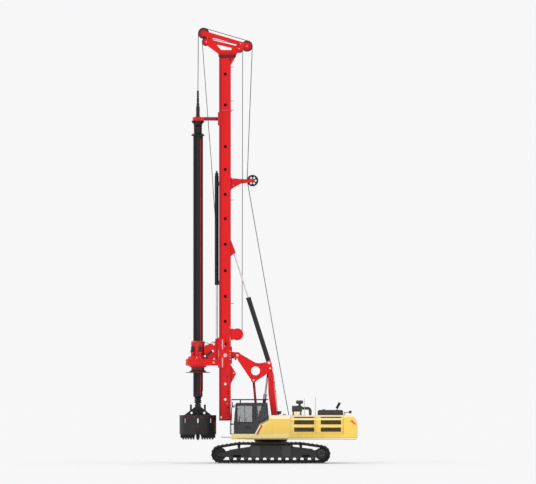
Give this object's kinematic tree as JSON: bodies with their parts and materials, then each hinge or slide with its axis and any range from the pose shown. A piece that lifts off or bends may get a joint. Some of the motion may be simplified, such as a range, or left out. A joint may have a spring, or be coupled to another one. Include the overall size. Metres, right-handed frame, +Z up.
{
  "type": "rotary piling rig",
  "caption": "Crawler rotary piling rig with a tall box mast, telescopic kelly bar, rotary drive, drilling bucket, parallel linkage boom, side cab and engine housing.",
  "frame": {"origin": "on the slewing axis at the ground, under the middle of the undercarriage", "axes": "+X forward towards the mast, +Y left towards the cab's side, +Z up along the slewing axis"},
  "size_m": [8.91, 4.3, 21.765],
  "materials": {
    "red_paint": "gloss",
    "yellow_paint": "gloss",
    "charcoal_paint": "satin",
    "black_paint": "satin",
    "cast_steel": "matte",
    "track_steel": "worn",
    "kelly_steel": "dark",
    "bright_steel": "brushed",
    "chrome": "polished",
    "glass": "clear",
    "interior_plastic": "matte"
  },
  "bodies": {
    "undercarriage": {"carbody": "black_paint", "slewing_ring": "cast_steel", "track_frame_left": "black_paint", "track_frame_right": "black_paint", "track_left": "track_steel", "track_right": "track_steel", "track_wheels_left": "cast_steel", "track_wheels_right": "cast_steel"},
    "upper_structure": {"upper_frame": "black_paint", "hood": "yellow_paint", "engine": "cast_steel", "counterweight": "yellow_paint", "exhaust_box": "charcoal_paint", "air_cleaner": "charcoal_paint", "lamps": "charcoal_paint", "side_tank": "yellow_paint", "cab_shell": "charcoal_paint", "cab_glass": "glass", "cab_interior": "interior_plastic", "cab_guard": "charcoal_paint"},
    "engine_door_left_front": {"engine_door_left_front": "yellow_paint"},
    "engine_door_left_rear": {"engine_door_left_rear": "yellow_paint"},
    "engine_door_right_front": {"engine_door_right_front": "yellow_paint"},
    "engine_door_right_rear": {"engine_door_right_rear": "yellow_paint"},
    "cab_door": {"cab_door": "charcoal_paint", "cab_door_glass": "glass"},
    "main_winch": {"main_winch_drum": "red_paint"},
    "boom": {"boom": "red_paint"},
    "support_rods": {"support_rods": "red_paint"},
    "triangle": {"triangle": "red_paint"},
    "lift_barrels": {"lift_cylinder_barrels": "charcoal_paint"},
    "lift_rods": {"lift_cylinder_rods": "chrome"},
    "crosshead": {"crosshead": "cast_steel"},
    "tilt_yokes": {"tilt_cylinder_yokes": "cast_steel"},
    "tilt_barrel_left": {"tilt_cylinder_barrel_left": "charcoal_paint"},
    "tilt_barrel_right": {"tilt_cylinder_barrel_right": "charcoal_paint"},
    "tilt_rod_left": {"tilt_cylinder_rod_left": "chrome"},
    "tilt_rod_right": {"tilt_cylinder_rod_right": "chrome"},
    "mast": {"mast": "red_paint", "mast_head_section": "red_paint", "pulley_frame": "red_paint", "crowd_cylinder_barrel": "charcoal_paint"},
    "main_sheave_front": {"main_sheave_front": "cast_steel"},
    "main_sheave_rear": {"main_sheave_rear": "cast_steel"},
    "aux_sheave_front": {"aux_sheave_front": "cast_steel"},
    "aux_sheave_rear": {"aux_sheave_rear": "cast_steel"},
    "guide_sheave": {"guide_sheave": "cast_steel"},
    "aux_winch": {"aux_winch_drum": "red_paint"},
    "carriage": {"carriage": "red_paint", "crowd_cylinder_rod": "chrome", "rotary_drive": "red_paint", "drive_motors": "cast_steel"},
    "sleeve": {"kelly_sleeve": "black_paint"},
    "follower": {"follower_frame": "red_paint"},
    "kelly_outer": {"kelly_outer": "kelly_steel"},
    "kelly_middle": {"kelly_middle": "kelly_steel"},
    "kelly_inner": {"kelly_inner": "kelly_steel", "bucket": "kelly_steel"},
    "swivel": {"swivel": "bright_steel"},
    "bucket_gate": {"bucket_gate": "kelly_steel"}
  },
  "joints": [
    {"name": "slew", "type": "hinge", "parent": "undercarriage", "child": "upper_structure", "pos_m": [0, 0, 1.05], "axis": [0, 0, 1], "continuous": true},
    {"name": "engine_door_left_front_swing", "type": "hinge", "parent": "upper_structure", "child": "engine_door_left_front", "pos_m": [-1.02, 1.52, 1.945], "axis": [0, 0, -1], "range_deg": [0, 100]},
    {"name": "engine_door_left_rear_swing", "type": "hinge", "parent": "upper_structure", "child": "engine_door_left_rear", "pos_m": [-3.6, 1.52, 1.945], "axis": [0, 0, 1], "range_deg": [0, 100]},
    {"name": "engine_door_right_front_swing", "type": "hinge", "parent": "upper_structure", "child": "engine_door_right_front", "pos_m": [-1.02, -1.52, 1.945], "axis": [0, 0, 1], "range_deg": [0, 100]},
    {"name": "engine_door_right_rear_swing", "type": "hinge", "parent": "upper_structure", "child": "engine_door_right_rear", "pos_m": [-3.6, -1.52, 1.945], "axis": [0, 0, -1], "range_deg": [0, 100]},
    {"name": "cab_door_swing", "type": "hinge", "parent": "upper_structure", "child": "cab_door", "pos_m": [0.83, 1.52, 2.2], "axis": [0, 0, 1], "range_deg": [0, 165]},
    {"name": "main_winch_turn", "type": "hinge", "parent": "upper_structure", "child": "main_winch", "pos_m": [-1.303, 0, 1.95], "axis": [0, 1, 0], "continuous": true},
    {"name": "luff", "type": "hinge", "parent": "upper_structure", "child": "boom", "pos_m": [-0.21, 0, 2.15], "axis": [0, 1, 0], "range_deg": [-3, 13]},
    {"name": "support_rod_turn", "type": "hinge", "parent": "upper_structure", "child": "support_rods", "pos_m": [0.62, 0, 1.55], "axis": [0, 1, 0], "range_deg": [-3, 13]},
    {"name": "triangle_level", "type": "hinge", "parent": "boom", "child": "triangle", "pos_m": [0.025, 0, 4.74], "axis": [0, 1, 0], "range_deg": [-13, 3]},
    {"name": "lift_barrel_turn", "type": "hinge", "parent": "upper_structure", "child": "lift_barrels", "pos_m": [0.47, 0, 1.9], "axis": [0, 1, 0], "range_deg": [-4, 13]},
    {"name": "lift_rod_slide", "type": "slide", "parent": "lift_barrels", "child": "lift_rods", "axis": [-0.1268, 0, 0.9919], "range_m": [-0.16, 0.05]},
    {"name": "mast_tilt", "type": "hinge", "parent": "triangle", "child": "crosshead", "pos_m": [1.66, 0, 5.395], "axis": [0, 1, 0], "range_deg": [-15, 5]},
    {"name": "tilt_yoke_turn", "type": "hinge", "parent": "triangle", "child": "tilt_yokes", "pos_m": [0.084, 0, 5.012], "axis": [0, 1, 0], "range_deg": [-14, 5]},
    {"name": "side_tilt", "type": "hinge", "parent": "crosshead", "child": "mast", "pos_m": [1.66, 0, 5.395], "axis": [1, 0, 0], "range_deg": [-4, 4]},
    {"name": "tilt_barrel_left_turn", "type": "hinge", "parent": "tilt_yokes", "child": "tilt_barrel_left", "pos_m": [0.084, 0.2, 5.012], "axis": [0.953, 0, -0.303], "range_deg": [-4, 4]},
    {"name": "tilt_rod_left_slide", "type": "slide", "parent": "tilt_barrel_left", "child": "tilt_rod_left", "axis": [0.303, 0, 0.953], "range_m": [-0.4, 0.15]},
    {"name": "tilt_barrel_right_turn", "type": "hinge", "parent": "tilt_yokes", "child": "tilt_barrel_right", "pos_m": [0.084, -0.2, 5.012], "axis": [0.953, 0, -0.303], "range_deg": [-4, 4]},
    {"name": "tilt_rod_right_slide", "type": "slide", "parent": "tilt_barrel_right", "child": "tilt_rod_right", "axis": [0.303, 0, 0.953], "range_m": [-0.4, 0.15]},
    {"name": "main_sheave_front_turn", "type": "hinge", "parent": "mast", "child": "main_sheave_front", "pos_m": [3.355, 0, 21.485], "axis": [0, 1, 0], "continuous": true},
    {"name": "main_sheave_rear_turn", "type": "hinge", "parent": "mast", "child": "main_sheave_rear", "pos_m": [1.18, 0, 20.845], "axis": [0, 1, 0], "continuous": true},
    {"name": "aux_sheave_front_turn", "type": "hinge", "parent": "mast", "child": "aux_sheave_front", "pos_m": [3.225, 0.097, 21.06], "axis": [0, 1, 0], "continuous": true},
    {"name": "aux_sheave_rear_turn", "type": "hinge", "parent": "mast", "child": "aux_sheave_rear", "pos_m": [1.575, 0.097, 20.715], "axis": [0, 1, 0], "continuous": true},
    {"name": "guide_sheave_turn", "type": "hinge", "parent": "mast", "child": "guide_sheave", "pos_m": [0.907, 0, 14.12], "axis": [0, 1, 0], "continuous": true},
    {"name": "aux_winch_turn", "type": "hinge", "parent": "mast", "child": "aux_winch", "pos_m": [1.67, 0, 6.435], "axis": [0, 1, 0], "continuous": true},
    {"name": "crowd", "type": "slide", "parent": "mast", "child": "carriage", "axis": [0, 0, -1], "range_m": [-2.3, 2.6]},
    {"name": "sleeve_turn", "type": "hinge", "parent": "carriage", "child": "sleeve", "pos_m": [3.64, 0, 5], "axis": [0, 0, 1], "continuous": true},
    {"name": "kelly_lift", "type": "slide", "parent": "sleeve", "child": "kelly_outer", "axis": [0, 0, 1], "range_m": [-9.8, 1.3]},
    {"name": "follower_slide", "type": "slide", "parent": "carriage", "child": "follower", "axis": [0, 0, 1], "range_m": [-9.8, 1.3]},
    {"name": "kelly_telescope", "type": "slide", "parent": "kelly_outer", "child": "kelly_middle", "axis": [0, 0, -1], "range_m": [0, 11.5]},
    {"name": "kelly_inner_slide", "type": "slide", "parent": "kelly_middle", "child": "kelly_inner", "axis": [0, 0, -1], "range_m": [0, 11.5]},
    {"name": "swivel_turn", "type": "hinge", "parent": "kelly_inner", "child": "swivel", "pos_m": [3.64, 0, 17.9], "axis": [0, 0, 1], "continuous": true},
    {"name": "gate_swing", "type": "hinge", "parent": "kelly_inner", "child": "bucket_gate", "pos_m": [3.64, 0.96, 1.475], "axis": [1, 0, 0], "range_deg": [0, 85]}
  ],
  "couplings": [
    {"joint": "support_rod_turn", "follows": "luff", "ratio": 1},
    {"joint": "triangle_level", "follows": "luff", "ratio": -1},
    {"joint": "lift_barrel_turn", "follows": "luff", "ratio": 0.894},
    {"joint": "lift_rod_slide", "follows": "luff", "m_per_rad": -0.666},
    {"joint": "tilt_yoke_turn", "follows": "mast_tilt", "ratio": 0.872},
    {"joint": "tilt_rod_left_slide", "follows": "mast_tilt", "m_per_rad": 1.44},
    {"joint": "tilt_rod_right_slide", "follows": "mast_tilt", "m_per_rad": 1.44},
    {"joint": "tilt_barrel_left_turn", "follows": "side_tilt", "ratio": 0.915},
    {"joint": "tilt_barrel_right_turn", "follows": "side_tilt", "ratio": 0.915},
    {"joint": "follower_slide", "follows": "kelly_lift", "ratio": 1},
    {"joint": "kelly_inner_slide", "follows": "kelly_telescope", "ratio": 1}
  ]
}
